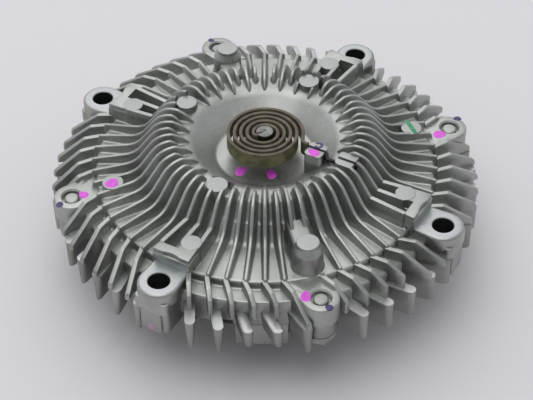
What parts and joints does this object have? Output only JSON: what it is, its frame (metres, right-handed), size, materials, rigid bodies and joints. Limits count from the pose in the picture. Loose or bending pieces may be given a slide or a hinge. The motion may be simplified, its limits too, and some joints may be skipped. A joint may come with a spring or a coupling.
{
  "type": "viscous fan clutch",
  "caption": "Viscous fan clutch: finned die-cast front cover with a bimetal coil, finned rear casting, sealed rotor, ball bearing and a flanged drive shaft.",
  "frame": {"origin": "centre of the rear mounting face of the shaft flange, on the axis of rotation", "axes": "+Z along the shaft to the front (bimetal) side; fan lugs at 45, 135, 225 and 315 degrees from +X"},
  "size_m": [0.175, 0.175, 0.0618],
  "materials": {
    "die_cast_aluminium": "satin",
    "turned_aluminium": "machined",
    "forged_steel": "machined",
    "bearing_steel": "ground",
    "spring_steel": "blackened",
    "pressed_steel": "satin",
    "valve_steel": "ground",
    "plated_steel": "zinc plated",
    "bimetal": "oiled",
    "black_rubber": "matt"
  },
  "bodies": {
    "drive": {"drive_shaft": "forged_steel", "bearing_inner_ring": "bearing_steel", "rotor": "turned_aluminium", "rotor_retaining_ring": "spring_steel"},
    "ball_train": {"bearing_ball_1": "bearing_steel", "bearing_ball_2": "bearing_steel", "bearing_ball_3": "bearing_steel", "bearing_ball_4": "bearing_steel", "bearing_ball_5": "bearing_steel", "bearing_ball_6": "bearing_steel", "bearing_ball_7": "bearing_steel", "bearing_ball_8": "bearing_steel", "bearing_cage": "pressed_steel"},
    "housing": {"front_cover": "die_cast_aluminium", "rear_body": "die_cast_aluminium", "body_seal": "black_rubber", "bearing_outer_ring": "bearing_steel", "bearing_seal_rear": "black_rubber", "bearing_seal_front": "black_rubber", "bearing_retaining_ring": "spring_steel", "separator_plate": "pressed_steel", "pump_wiper": "pressed_steel", "valve_stop_pin_1": "pressed_steel", "valve_stop_pin_2": "pressed_steel", "bimetal_coil": "bimetal", "separator_screw_1": "plated_steel", "separator_screw_2": "plated_steel", "separator_screw_3": "plated_steel", "separator_screw_4": "plated_steel", "assembly_screw_1": "plated_steel", "assembly_screw_2": "plated_steel", "assembly_screw_3": "plated_steel", "assembly_screw_4": "plated_steel"},
    "valve": {"valve_shaft": "valve_steel", "valve_arm": "spring_steel", "valve_shaft_seal": "black_rubber", "valve_shaft_clip": "spring_steel"}
  },
  "joints": [
    {"name": "housing_spin", "type": "hinge", "parent": "drive", "child": "housing", "pos_m": [0, 0, 0.0195], "axis": [0, 0, 1], "continuous": true},
    {"name": "ball_train_spin", "type": "hinge", "parent": "drive", "child": "ball_train", "pos_m": [0, 0, 0.0195], "axis": [0, 0, 1], "continuous": true},
    {"name": "valve_turn", "type": "hinge", "parent": "housing", "child": "valve", "pos_m": [0, 0, 0.045], "axis": [0, 0, 1], "range_deg": [0, 55], "stiffness_Nm_per_rad": 0.01, "deforming": ["bimetal_coil"]}
  ],
  "couplings": [
    {"joint": "ball_train_spin", "follows": "housing_spin", "ratio": 0.6176}
  ]
}
